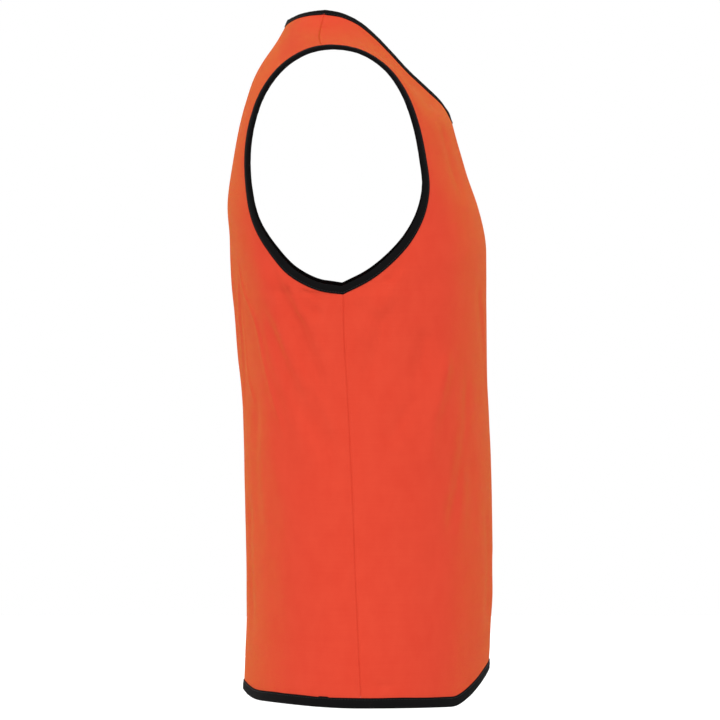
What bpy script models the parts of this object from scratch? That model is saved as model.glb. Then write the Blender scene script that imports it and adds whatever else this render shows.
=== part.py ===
# Reversible rugby training bib in its worn, hollow form: a front and a back panel of double knit,
# and black tape folded over every raw edge.
# Metres, +Z up, the front faces -Y and the wearer's left is +X.
# The origin lies midway between the two shoulder straps, where the wearer's shoulders carry the bib.
import math

import bmesh
import bpy
import numpy as np
from mathutils import Vector

# Walls and gaps
MM = 0.001
CLOTH = 1.2 * MM
TAPE = 1.0 * MM
NECK_TAPE_REACH = 8.0 * MM
ARMHOLE_TAPE_REACH = 7.5 * MM
HEM_TAPE_REACH = 10.0 * MM
CLEARANCE = 0.3 * MM
SEAM_HALF_GAP = 0.35 * MM

# Rows and columns of the cloth
ROWS_BELOW_ARM = 14
FRONT_ROWS_TO_NECK = 12
BACK_ROWS_TO_NECK = 16
FRONT_ROWS_STRAP = 9
BACK_ROWS_STRAP = 6
HALF_COLUMNS = 11

# All tables are in millimetres: across is out from the middle, forward is towards the chest.
# They describe the cloth up to the line where the tape starts. Under the tape, it goes on to its raw edge.

# Hem: the height of the tape's upper line at the side seams
HEM_HEIGHT = -715.0

# The front hem lifts in an arch over the middle, this far to each side
FRONT_HEM_LIFT = 36.0
FRONT_ARCH_HALF = 150.0
FRONT_ARCH_POWER = 1.25

# The back hem lifts near the middle, and loses this lift between two distances from it. It also rises
# a little from the side seams: a higher power rises closer to them.
BACK_HEM_LIFT = 8.0
BACK_LIFT_FROM = 10.0
BACK_LIFT_TO = 115.0
BACK_HEM_RISE = 6.0
BACK_RISE_POWER = 4

# Middle of the front, from the hem to the point of the V
FRONT_LINE = (
    # height, forward
    (-715, 180.5),
    (-640, 184.5),
    (-560, 184),
    (-460, 182),
    (-360, 178.5),
    (-270, 177.5),
    (-226, 176.5),
    (-195, 169.5),
    (-151, 154.5),
    (-115, 144),
    (-101, 140.5),
)

# Middle of the back, from the hem to the neck
BACK_LINE = (
    # height, forward
    (-715, -84),
    (-660, -82),
    (-530, -83),
    (-335, -89.5),
    (-227, -99),
    (-189, -102),
    (-140, -96),
    (-76, -81),
    (-43, -69),
    (-9, -46.5),
    (2.5, -40),
)

# Side seam, from the hem to the underarm
SIDE_SEAM = (
    # height, across, forward
    (-715, 208, 42),
    (-630, 206, 38),
    (-480, 204, 32),
    (-380, 204, 27),
    (-330, 205.5, 24),
    (-283.5, 207.5, 23),
)

# Front half of the armhole, from the underarm to the shoulder seam
ARMHOLE_FRONT = (
    # across, forward, height
    (207.5, 23, -283.5),
    (204.5, 51, -269.5),
    (196, 79, -247),
    (185.5, 97.5, -225),
    (175, 110, -200),
    (167, 115.5, -170),
    (163.5, 112, -140),
    (165, 103, -98),
    (172, 90, -66),
    (180, 70.5, -40),
    (186, 40, -21.5),
    (188, 15, -17),
    (188, 0, -17),
)

# Back half of the armhole, from the underarm to the shoulder seam
ARMHOLE_BACK = (
    # across, forward, height
    (207.5, 23, -283.5),
    (206, -4, -279.5),
    (197.5, -32, -265.5),
    (180, -57, -238),
    (165.5, -74, -207),
    (157, -81.5, -165),
    (157, -82.5, -140),
    (163, -77, -98),
    (171, -64, -64),
    (179, -41, -36),
    (186, -15, -21),
    (188, 0, -17),
)

# Front of the neck, from the point of the V to the shoulder seam
NECK_FRONT = (
    # across, forward, height
    (0, 140.5, -101),
    (17, 130.5, -83),
    (35, 113.5, -66.5),
    (52.5, 91.5, -46),
    (67.5, 71.5, -24.5),
    (79, 54.5, -7.5),
    (87.5, 38.5, 5),
    (92.5, 20.5, 13),
    (94.5, 2, 16),
)

# Back of the neck, from the middle of the back to the shoulder seam
NECK_BACK = (
    # across, forward, height
    (0, -40, 2.5),
    (28, -38.8, 4),
    (54, -34.3, 7.5),
    (75, -25, 12),
    (89, -12, 14.8),
    (94.5, 2, 16),
)

# A level section of the torso is a quarter curve on each side of each panel. Each pull is the share of
# the width or depth over which the curve leaves the middle or arrives at the side: more is squarer.
SECTION_PULLS = (
    # height, front middle, front side, back middle, back side
    (-715, 0.62, 0.56, 0.60, 0.55),
    (-560, 0.64, 0.59, 0.63, 0.60),
    (-420, 0.68, 0.65, 0.71, 0.70),
    (-282, 0.72, 0.70, 0.78, 0.78),
    (-115, 0.72, 0.70, 0.78, 0.78),
)

# How much of a section's rise from its middle to its side the four controls of its curve have made
SECTION_RISE = (0.0, 0.0, 0.6, 1.0)

# Above the underarm, a section is cut off by the armhole. Higher still, it turns into the strap.
# Levels: 0 is the hem, 1 the underarm, 2 the lowest point of the neck and 3 the shoulder seam.
FRONT_STRAP_LEVEL = 1.9
BACK_STRAP_LEVEL = 1.55

# Share of each armhole, from the underarm up, where level 2 meets it
FRONT_ARMHOLE_SHARE = 0.57
BACK_ARMHOLE_SHARE = 0.87

# Shoulder seam: how it leaves the neck and arrives at the armhole, as (across, forward, height)
SEAM_LEAVES_NECK = (32.0, 0.0, -24.0)
SEAM_MEETS_ARMHOLE = (30.0, -1.0, -7.0)

# Beside the V of the neck the front falls away from the tape, as (forward, height), from this level up
NECK_FALL = (-8.0, -20.0)
NECK_FALL_LEVEL = 2.25

# Main folds as seen from the side, on both sides of the bib. Each is a soft trough along a line.
FOLDS = (
    # panel, start forward, start height, end forward, end height, width, depth
    ("back", -92, -240, -60, -360, 15, 3.0),
    ("back", -60, -360, -28, -495, 17, 2.6),
    ("back", -84, -318, -66, -440, 13, 1.8),
    ("back", -30, -300, 12, -440, 20, 1.8),
    ("front", 60, -300, 34, -430, 20, 1.6),
    ("front", 118, -250, 78, -400, 22, 1.8),
)

# Shares of a fold's line between which it deepens, and between which it fades out
FOLD_RUN = (-0.15, 0.25, 0.7, 1.15)

# Columns over which the folds fade out, towards the middle of a panel and towards its side
FOLD_FADE_MIDDLE = 3
FOLD_FADE_SIDE = 2

ORANGE = (0.80, 0.075, 0.040, 1.0)
BLACK = (0.008, 0.008, 0.010, 1.0)


def smooth_curve(marks, values):
    """A function that reads a smooth curve through the values at a mark."""
    slopes = np.gradient(values, marks, axis=0)

    def at(mark):
        i = int(np.clip(np.searchsorted(marks, mark) - 1, 0, len(marks) - 2))
        step = marks[i + 1] - marks[i]
        t = (mark - marks[i]) / step
        start = (2 * t**3 - 3 * t**2 + 1) * values[i] + (t**3 - 2 * t**2 + t) * step * slopes[i]
        end = (3 * t**2 - 2 * t**3) * values[i + 1] + (t**3 - t**2) * step * slopes[i + 1]
        return start + end

    return at


def by_height(table):
    """A smooth curve that reads a table's other columns at a height."""
    table = np.array(table, float)
    return smooth_curve(table[:, 0], table[:, 1:])


def by_share(table):
    """A smooth line through points, read at a share of its length."""
    points = np.array(table, float)
    lengths = np.linalg.norm(np.diff(points, axis=0), axis=1)
    marks = np.concatenate([[0.0], np.cumsum(lengths)]) / lengths.sum()
    return smooth_curve(marks, points)


def eased(value, start, end):
    """0 before start, 1 after end, and a soft step between."""
    t = min(max((value - start) / (end - start), 0.0), 1.0)
    return t * t * (3 - 2 * t)


def curve_through(controls, share):
    """A point of the cubic curve with these four controls."""
    a, b, c, d = controls
    t = share
    return (1 - t) ** 3 * a + 3 * (1 - t) ** 2 * t * b + 3 * (1 - t) * t**2 * c + t**3 * d


def quarter_controls(middle_pull, side_pull, depth_share):
    """Controls of the quarter curve from (0, 1) to (1, 0), cut off where its depth is depth_share."""
    whole = np.array([(0.0, 1.0), (middle_pull, 1.0), (1.0, side_pull), (1.0, 0.0)])
    low = 0.0
    high = 1.0
    for _ in range(40):
        cut = (low + high) / 2
        if curve_through(whole, cut)[1] > depth_share:
            low = cut
        else:
            high = cut
    first = whole[:-1] + (whole[1:] - whole[:-1]) * cut
    second = first[:-1] + (first[1:] - first[:-1]) * cut
    third = second[0] + (second[1] - second[0]) * cut
    return np.array([whole[0], first[0], second[0], third])


def section_controls(panel, start, end):
    """Controls of a torso section from the middle of a panel to a point of its side or armhole edge."""
    lowest, highest = SECTION_PULLS[0][0], SECTION_PULLS[-1][0]
    pulls = by_height(SECTION_PULLS)(min(max(end[2], lowest), highest))
    middle_pull, side_pull = pulls[:2] if panel == "front" else pulls[2:]
    underarm_height, _, underarm_forward = SIDE_SEAM[-1]
    side_forward = end[1] if end[2] < underarm_height else underarm_forward
    depth = start[1] - side_forward
    depth_share = (end[1] - side_forward) / depth
    quarter = quarter_controls(middle_pull, side_pull, depth_share)
    half_width = end[0] / quarter[-1][0]
    heights = start[2] + (end[2] - start[2]) * np.array(SECTION_RISE)
    across = quarter[:, 0] * half_width
    forward = side_forward + quarter[:, 1] * depth
    return np.stack([across, forward, heights], axis=1)


def controls_at(panel, level, start, end, strap_start):
    """Controls of one row of cloth. Above strap_start's level it turns from a section into the strap."""
    strap_level, leaving, arriving = strap_start
    if level <= strap_level:
        return section_controls(panel, start, end)
    share = (level - strap_level) / (3 - strap_level)
    leaving = leaving + (np.array(SEAM_LEAVES_NECK) - leaving) * share
    # A row that starts in the middle leaves it square on, so the panel has no crease there.
    leaving[1:] *= max(0.0, level - 2)
    if panel == "front":
        beside_neck = eased(level, 2.0, NECK_FALL_LEVEL)
        leaving[1:] += np.array(NECK_FALL) * beside_neck * (3 - max(level, 2.0))
    arriving = arriving + (np.array(SEAM_MEETS_ARMHOLE) - arriving) * share
    return np.array([start, start + leaving, end - arriving, end])


def hem_lift(panel, across):
    """How far the hem stands above its height at the side seams."""
    if panel == "front":
        return FRONT_HEM_LIFT * max(0.0, 1 - (across / FRONT_ARCH_HALF) ** 2) ** FRONT_ARCH_POWER
    rise = BACK_HEM_RISE * (1 - (across / SIDE_SEAM[0][1]) ** BACK_RISE_POWER)
    return rise + BACK_HEM_LIFT * (1 - eased(across, BACK_LIFT_FROM, BACK_LIFT_TO))


def row_ends(panel):
    """Level, start and end of every row of a panel, from the hem to the shoulder seam."""
    front = panel == "front"
    middle = by_height(FRONT_LINE if front else BACK_LINE)
    seam = by_height(SIDE_SEAM)
    armhole = by_share(ARMHOLE_FRONT if front else ARMHOLE_BACK)
    neck = by_share(NECK_FRONT if front else NECK_BACK)
    neck_height = (NECK_FRONT if front else NECK_BACK)[0][2]
    underarm_height = SIDE_SEAM[-1][0]
    rows_to_neck = FRONT_ROWS_TO_NECK if front else BACK_ROWS_TO_NECK
    rows_strap = FRONT_ROWS_STRAP if front else BACK_ROWS_STRAP
    armhole_share = FRONT_ARMHOLE_SHARE if front else BACK_ARMHOLE_SHARE
    ends = []
    for share in np.arange(ROWS_BELOW_ARM) / ROWS_BELOW_ARM:
        height = HEM_HEIGHT + (underarm_height - HEM_HEIGHT) * share
        across, forward = seam(height)
        ends.append((share, (0.0, middle(height)[0], height), (across, forward, height)))
    rise = neck_height - armhole(armhole_share)[2]
    for share in np.arange(rows_to_neck) / rows_to_neck:
        end = armhole(share * armhole_share)
        height = end[2] + rise * share**2
        ends.append((1 + share, (0.0, middle(height)[0], height), end))
    for share in np.arange(rows_strap + 1) / rows_strap:
        end = armhole(armhole_share + (1 - armhole_share) * share)
        ends.append((2 + share, neck(share), end))
    return [(level, np.array(start, float), np.array(end, float)) for level, start, end in ends]


def half_panel(panel):
    """The left half of a panel as rows of (across, forward, height)."""
    strap_level = FRONT_STRAP_LEVEL if panel == "front" else BACK_STRAP_LEVEL
    ends = row_ends(panel)
    last_section = [ends_of_row for ends_of_row in ends if ends_of_row[0] <= strap_level][-1]
    controls = section_controls(panel, last_section[1], last_section[2])
    strap_start = (last_section[0], controls[1] - controls[0], controls[3] - controls[2])
    rows = []
    for level, start, end in ends:
        controls = controls_at(panel, level, start, end, strap_start)
        row = [curve_through(controls, share) for share in np.linspace(0, 1, HALF_COLUMNS + 1)]
        for point in row:
            point[2] += max(0.0, 1 - level) * hem_lift(panel, point[0])
        rows.append(row)
    return np.array(rows)


def outward_directions(rows):
    """Directions out of the cloth at the points of a half panel, from the faces round each point."""
    first_diagonal = rows[1:, 1:] - rows[:-1, :-1]
    second_diagonal = rows[1:, :-1] - rows[:-1, 1:]
    facing = np.cross(first_diagonal, second_diagonal)
    out = np.zeros_like(rows)
    for corner in (out[:-1, :-1], out[:-1, 1:], out[1:, :-1], out[1:, 1:]):
        corner += facing
    middle = np.abs(rows[:, 0, 0]) < 1e-6
    out[middle, 0, 0] = 0.0
    out /= np.linalg.norm(out, axis=2, keepdims=True)
    inside = np.array([0.0, SIDE_SEAM[-1][2], rows[:, :, 2].mean()])
    return out if ((rows - inside) * out).sum() > 0 else -out


def fold_depth(panel, forward, height):
    """Depth of all folds at a place seen from the side."""
    depth = 0.0
    for owner, start_forward, start_height, end_forward, end_height, width, deepest in FOLDS:
        if owner != panel:
            continue
        start = np.array([start_forward, start_height])
        along = np.array([end_forward, end_height]) - start
        length = np.linalg.norm(along)
        along = along / length
        reach = np.array([forward, height]) - start
        travelled = reach @ along
        aside = reach[0] * along[1] - reach[1] * along[0]
        deepens_from, deepens_to, fades_from, fades_to = length * np.array(FOLD_RUN)
        fade = eased(travelled, deepens_from, deepens_to)
        fade = fade * (1 - eased(travelled, fades_from, fades_to))
        depth += deepest * fade * math.exp(-((aside / width) ** 2))
    return depth


def press_folds(rows, panel):
    """Presses the folds into a half panel, and fades them out towards its edges."""
    out = outward_directions(rows)
    last_column = rows.shape[1] - 1
    for row in range(1, len(rows) - 1):
        for column in range(1, last_column):
            _, forward, height = rows[row, column]
            fade = min(1.0, (last_column - column) / FOLD_FADE_SIDE, column / FOLD_FADE_MIDDLE)
            rows[row, column] -= out[row, column] * fade * fold_depth(panel, forward, height)


def mirrored(places):
    """The same places on the other side of the bib."""
    return places * np.array([-1.0, 1.0, 1.0])


def raw_edge(line, out, opening, reach):
    """Raw edge points beside a closed line of tape starts, with a mitre at each corner.

    opening is a place inside the neck, armhole or hem opening, towards which the cloth goes on."""
    edge = []
    count = len(line)
    for i in range(count):
        before = line[i] - line[i - 1]
        after = line[(i + 1) % count] - line[i]
        beyond_before = np.cross(before, out[i])
        beyond_after = np.cross(after, out[i])
        beyond_before /= np.linalg.norm(beyond_before)
        beyond_after /= np.linalg.norm(beyond_after)
        beyond = beyond_before + beyond_after
        beyond /= np.linalg.norm(beyond)
        beyond /= max(beyond @ beyond_after, 0.5)
        edge.append(beyond * reach / MM)
    edge = np.array(edge)
    if ((opening - line) * edge).sum() < 0:
        edge = -edge
    return line + edge


class Panel:
    """One half of a panel, with its strips of cloth under the tape."""

    def __init__(self, name):
        self.name = name
        self.rows = half_panel(name)
        press_folds(self.rows, name)
        self.out = outward_directions(self.rows)
        self.neck_row = ROWS_BELOW_ARM + (FRONT_ROWS_TO_NECK if name == "front" else BACK_ROWS_TO_NECK)
        self.strips = {}

    def neck_line(self):
        return self.rows[self.neck_row :, 0], self.out[self.neck_row :, 0]

    def armhole_line(self):
        return self.rows[ROWS_BELOW_ARM:, -1], self.out[ROWS_BELOW_ARM:, -1]

    def hem_line(self):
        return self.rows[0], self.out[0]


def seam_average(first, second):
    """Directions at a seam, shared by both panels."""
    both = first + second
    return both / np.linalg.norm(both)


def add_strips(front, back):
    """Works out the raw edges of neck, armhole and hem, through both panels together."""
    edges = (
        # kind, line of tape starts, a place in the opening, how far the cloth goes on under the tape
        ("neck", Panel.neck_line, (0.0, 40.0, 40.0), NECK_TAPE_REACH),
        ("armhole", Panel.armhole_line, (230.0, 10.0, -140.0), ARMHOLE_TAPE_REACH),
        ("hem", Panel.hem_line, (0.0, 50.0, -5000.0), HEM_TAPE_REACH),
    )
    for kind, line_of, opening, reach in edges:
        front_line, front_out = line_of(front)
        back_line, back_out = line_of(back)
        shared = seam_average(front_out[-1], back_out[-1])
        line = np.concatenate([front_line, back_line[-2::-1]])
        out = np.concatenate([front_out[:-1], [shared], back_out[-2::-1]])
        if kind == "armhole":
            # The underarm ends both lines, so it is one point of the closed loop.
            out[0] = seam_average(front_out[0], back_out[0])
            loop = raw_edge(line[:-1], out[:-1], opening, reach)
            loop = np.concatenate([loop, loop[:1]])
        else:
            # The middle of each panel starts its line, and the other side of the bib is its mirror.
            out[0] *= np.array([0.0, 1.0, 1.0])
            out[-1] *= np.array([0.0, 1.0, 1.0])
            whole = np.concatenate([line, mirrored(line[-2:0:-1])])
            whole_out = np.concatenate([out, mirrored(out[-2:0:-1])])
            loop = raw_edge(whole, whole_out, opening, reach)[: len(line)]
        front.strips[kind] = loop[: len(front_line)].copy()
        back.strips[kind] = loop[len(front_line) - 1 :][::-1].copy()


def leave_seam_gaps(panel):
    """Draws the side seam and the shoulder seam back by half of the gap between the panels."""
    gap = SEAM_HALF_GAP / MM * (1 if panel.name == "front" else -1)
    panel.rows[: ROWS_BELOW_ARM + 1, -1, 1] += gap
    panel.rows[-1, :, 1] += gap
    panel.strips["hem"][-1, 1] += gap
    panel.strips["neck"][-1, 1] += gap
    panel.strips["armhole"][[0, -1], 1] += gap


def to_world(place, side):
    """A place on the wearer's left (side 1) or right (side -1), in metres."""
    across, forward, height = place
    return Vector((side * across * MM, -forward * MM, height * MM))


def panel_mesh(panel):
    """The whole panel as an open surface, and the numbers of its points by (side, kind, place in line)."""
    shape = bmesh.new()
    points = {}
    row_count = len(panel.rows)
    lines = {("row", row): panel.rows[row] for row in range(row_count)}
    lines.update({(kind, "edge"): strip for kind, strip in panel.strips.items()})
    for side in (1, -1):
        for key, line in lines.items():
            for i, place in enumerate(line):
                in_middle = i == 0 and abs(place[0]) < 1e-6
                if in_middle and side == -1:
                    points[side, key, i] = points[1, key, i]
                else:
                    points[side, key, i] = shape.verts.new(to_world(place, side))

    def row_point(side, row, column):
        return points[side, ("row", row), column]

    for side in (1, -1):
        for row in range(row_count - 1):
            for column in range(HALF_COLUMNS):
                shape.faces.new(
                    [
                        row_point(side, row, column),
                        row_point(side, row, column + 1),
                        row_point(side, row + 1, column + 1),
                        row_point(side, row + 1, column),
                    ]
                )
        # Each strip is cut into triangles the same way as the tape that lies on it.
        for kind, strip in panel.strips.items():
            starts = tape_starts(panel, points, side, kind)
            edges = [points[side, (kind, "edge"), i] for i in range(len(strip))]
            for i in range(len(strip) - 1):
                shape.faces.new([edges[i], edges[i + 1], starts[i]])
                shape.faces.new([edges[i + 1], starts[i + 1], starts[i]])
    bmesh.ops.recalc_face_normals(shape, faces=shape.faces[:])
    forwards = sum(-face.normal.y * face.calc_area() for face in shape.faces)
    if (forwards > 0) != (panel.name == "front"):
        bmesh.ops.reverse_faces(shape, faces=shape.faces[:])
    shape.verts.index_update()
    numbers = {key: vertex.index for key, vertex in points.items()}
    mesh = bpy.data.meshes.new(panel.name + "_panel")
    shape.to_mesh(mesh)
    shape.free()
    return mesh, numbers


def tape_starts(panel, points, side, kind):
    """The points of a panel along which one kind of tape starts."""
    row_count = len(panel.rows)
    if kind == "neck":
        return [points[side, ("row", row), 0] for row in range(panel.neck_row, row_count)]
    if kind == "armhole":
        return [points[side, ("row", row), HALF_COLUMNS] for row in range(ROWS_BELOW_ARM, row_count)]
    return [points[side, ("row", 0), column] for column in range(HALF_COLUMNS + 1)]


def tape_stations(panel, mesh, numbers, side, kind):
    """Along one panel: raw edge, its outward direction, tape start, its outward direction, place."""
    starts = tape_starts(panel, numbers, side, kind)
    edges = [numbers[side, (kind, "edge"), i] for i in range(len(panel.strips[kind]))]
    stations = []
    for i, (edge, start) in enumerate(zip(edges, starts)):
        edge = mesh.vertices[edge]
        start = mesh.vertices[start]
        stations.append((edge.co.copy(), edge.normal.copy(), start.co.copy(), start.normal.copy(), i))
    return stations


def seam_station(first, second):
    """One station in the middle of a seam."""
    return (
        (first[0] + second[0]) / 2,
        (first[1] + second[1]).normalized(),
        (first[2] + second[2]) / 2,
        (first[3] + second[3]).normalized(),
        max(first[4], second[4]),
    )


def tape_section(edge, edge_out, start, start_out):
    """One section of tape: over the outer face, round the raw edge and up the inner face."""
    beyond = (edge - start).normalized()
    near = CLEARANCE
    far = CLEARANCE + TAPE
    inner_near = CLOTH + near
    inner_far = CLOTH + far
    return [
        start + start_out * far,
        edge + edge_out * far,
        edge + beyond * far - edge_out * near,
        edge + beyond * far - edge_out * (CLOTH - near),
        edge - edge_out * inner_far,
        start - start_out * inner_far,
        start - start_out * inner_near,
        edge + beyond * near - edge_out * inner_near,
        edge + beyond * near + edge_out * near,
        start + start_out * near,
    ]


def tape_mesh(name, stations):
    """Tape folded over a closed raw edge."""
    shape = bmesh.new()
    sections = [[shape.verts.new(point) for point in tape_section(*station[:4])] for station in stations]
    places = [station[4] for station in stations]
    count = len(sections[0])
    for i, ring in enumerate(sections):
        following = sections[(i + 1) % len(sections)]
        onwards = places[(i + 1) % len(sections)] > places[i]
        for j in range(count):
            k = (j + 1) % count
            # Both faces of a leg are split along the diagonal that the cloth under them has.
            to_the_edge = j in (0, 6)
            if to_the_edge == onwards:
                corners = ((ring[j], ring[k], following[k]), (ring[j], following[k], following[j]))
            else:
                corners = ((ring[j], ring[k], following[j]), (ring[k], following[k], following[j]))
            for triangle in corners:
                shape.faces.new(triangle)
    bmesh.ops.recalc_face_normals(shape, faces=shape.faces[:])
    mesh = bpy.data.meshes.new(name)
    shape.to_mesh(mesh)
    shape.free()
    return mesh


def new_object(name, mesh, colour, roughness, collection):
    material = bpy.data.materials.new(name)
    material.use_nodes = True
    shader = material.node_tree.nodes["Principled BSDF"]
    shader.inputs["Base Color"].default_value = colour
    shader.inputs["Roughness"].default_value = roughness
    shader.inputs["Metallic"].default_value = 0.0
    material.diffuse_color = colour
    mesh.materials.append(material)
    mesh.shade_smooth()
    piece = bpy.data.objects.new(name, mesh)
    collection.objects.link(piece)
    return piece


def main():
    for old in list(bpy.data.objects):
        bpy.data.objects.remove(old, do_unlink=True)
    collection = bpy.data.collections.new("rugby_bib")
    bpy.context.scene.collection.children.link(collection)

    front = Panel("front")
    back = Panel("back")
    add_strips(front, back)
    meshes = {}
    for panel in (front, back):
        leave_seam_gaps(panel)
        mesh, numbers = panel_mesh(panel)
        meshes[panel.name] = (panel, mesh, numbers)

    def stations(name, side, kind):
        return tape_stations(*meshes[name], side, kind)

    def half_loop(side, kind):
        """From the middle of the front, or the underarm, over the seam to the back."""
        on_front = stations("front", side, kind)
        on_back = stations("back", side, kind)
        seam = seam_station(on_front[-1], on_back[-1])
        return on_front[:-1] + [seam] + on_back[-2::-1]

    loops = {}
    for kind in ("neck", "hem"):
        loops[kind + "_binding"] = half_loop(1, kind) + half_loop(-1, kind)[-2:0:-1]
    for side, name in ((1, "armhole_binding_left"), (-1, "armhole_binding_right")):
        loop = half_loop(side, "armhole")
        loops[name] = [seam_station(loop[0], loop[-1])] + loop[1:-1]

    for panel, mesh, _ in meshes.values():
        cloth = new_object(panel.name + "_panel", mesh, ORANGE, 0.75, collection)
        wall = cloth.modifiers.new("cloth wall", "SOLIDIFY")
        wall.thickness = CLOTH
        wall.offset = -1.0
        wall.use_even_offset = False
    for name, loop in loops.items():
        new_object(name, tape_mesh(name, loop), BLACK, 0.85, collection)


main()
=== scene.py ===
# Reversible rugby bib in its worn form: orange double knit with black tape folded over every edge.
# Shapes are worked out in millimetres as (across, forward, height), and go to metres at the end.
import math

import bpy
import numpy as np
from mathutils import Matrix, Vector, noise


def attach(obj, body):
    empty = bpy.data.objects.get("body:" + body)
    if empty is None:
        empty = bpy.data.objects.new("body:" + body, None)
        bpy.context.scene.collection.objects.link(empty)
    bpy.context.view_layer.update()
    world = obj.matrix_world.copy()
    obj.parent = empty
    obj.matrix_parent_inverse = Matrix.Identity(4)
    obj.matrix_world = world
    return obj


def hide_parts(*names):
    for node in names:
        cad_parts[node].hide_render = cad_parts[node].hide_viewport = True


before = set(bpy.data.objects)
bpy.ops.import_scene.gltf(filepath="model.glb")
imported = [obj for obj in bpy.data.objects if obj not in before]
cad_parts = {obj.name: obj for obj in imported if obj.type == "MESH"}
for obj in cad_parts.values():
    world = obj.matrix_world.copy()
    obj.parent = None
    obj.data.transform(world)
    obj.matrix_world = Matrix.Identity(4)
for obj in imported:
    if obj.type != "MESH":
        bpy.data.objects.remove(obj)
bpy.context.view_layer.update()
print("frame loaded:", sorted(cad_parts))

# The cut of the bib: the same sizes as its solids have, in millimetres.
cut = {
    "cloth": 1.2,
    "hemHeight": -715.0,
    "frontArch": (36.0, 150.0, 1.25),  # rise of the front hem, how far it goes to each side, and its power
    "backRise": (6.0, 4),  # rise of the back hem from the side seams, and its power
    "backLift": (8.0, 10.0, 115.0),  # more rise near the middle, lost between two distances from it
    "frontLine": (  # height, forward
        (-715, 180.5), (-640, 184.5), (-560, 184), (-460, 182), (-360, 178.5), (-270, 177.5),
        (-226, 176.5), (-195, 169.5), (-151, 154.5), (-115, 144), (-101, 140.5),
    ),
    "backLine": (  # height, forward
        (-715, -84), (-660, -82), (-530, -83), (-335, -89.5), (-227, -99), (-189, -102),
        (-140, -96), (-76, -81), (-43, -69), (-9, -46.5), (2.5, -40),
    ),
    "sideSeam": (  # height, across, forward
        (-715, 208, 42), (-630, 206, 38), (-480, 204, 32),
        (-380, 204, 27), (-330, 205.5, 24), (-283.5, 207.5, 23),
    ),
    "armholeFront": (  # across, forward, height
        (207.5, 23, -283.5), (204.5, 51, -269.5), (196, 79, -247), (185.5, 97.5, -225), (175, 110, -200),
        (167, 115.5, -170), (163.5, 112, -140), (165, 103, -98), (172, 90, -66), (180, 70.5, -40),
        (186, 40, -21.5), (188, 15, -17), (188, 0, -17),
    ),
    "armholeBack": (  # across, forward, height
        (207.5, 23, -283.5), (206, -4, -279.5), (197.5, -32, -265.5), (180, -57, -238), (165.5, -74, -207),
        (157, -81.5, -165), (157, -82.5, -140), (163, -77, -98), (171, -64, -64), (179, -41, -36),
        (186, -15, -21), (188, 0, -17),
    ),
    "neckFront": (  # across, forward, height
        (0, 140.5, -101), (17, 130.5, -83), (35, 113.5, -66.5), (52.5, 91.5, -46), (67.5, 71.5, -24.5),
        (79, 54.5, -7.5), (87.5, 38.5, 5), (92.5, 20.5, 13), (94.5, 2, 16),
    ),
    "neckBack": (  # across, forward, height
        (0, -40, 2.5), (28, -38.8, 4), (54, -34.3, 7.5), (75, -25, 12), (89, -12, 14.8), (94.5, 2, 16),
    ),
    "neckFall": (-8.0, -20.0),  # how the front falls away beside the V, as (forward, height)
    "neckFallLevel": 2.25,
    "sectionPulls": (  # height, front middle, front side, back middle, back side
        (-715, 0.62, 0.56, 0.60, 0.55), (-560, 0.64, 0.59, 0.63, 0.60), (-420, 0.68, 0.65, 0.71, 0.70),
        (-282, 0.72, 0.70, 0.78, 0.78), (-115, 0.72, 0.70, 0.78, 0.78),
    ),
    "strapLevel": {"front": 1.9, "back": 1.55},
    "armholeShare": {"front": 0.57, "back": 0.87},
    "seamLeavesNeck": (32.0, 0.0, -24.0),
    "seamMeetsArmhole": (30.0, -1.0, -7.0),
    "folds": (  # panel, then start and end as (forward, height), then width and depth
        ("back", (-92, -240), (-60, -360), 15, 3.0),
        ("back", (-60, -360), (-28, -495), 17, 2.6),
        ("back", (-84, -318), (-66, -440), 13, 1.8),
        ("back", (-30, -300), (12, -440), 20, 1.8),
        ("front", (60, -300), (34, -430), 20, 1.6),
        ("front", (118, -250), (78, -400), 22, 1.8),
    ),
}

# How fine the cloth is: rows to the underarm, to the neck and to the shoulder, and columns in each half.
cloth = {
    "rows": {"front": (112, 54, 48), "back": (112, 66, 40)},
    "columns": 84,
    "seamSteps": (6.5, 4.2, 2.7, 1.7, 1.0, 0.5, 0.0),  # distance from the seam of the last columns or rows
    "seamWidth": 0.85,
    "sideSeamDepth": 0.85,
    "shoulderSeamDepth": 1.5,
    "shoulderSeamBow": -4.2,  # how far the shoulder seam bends backwards between neck and armhole
    "seamGap": 0.06,
    "puckerDepth": 0.25,
    "creaseDepth": 2.0,  # all the creases below are this many times as deep
    "waveDepth": 0.7,
    "underTape": 4.5,
}

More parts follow.
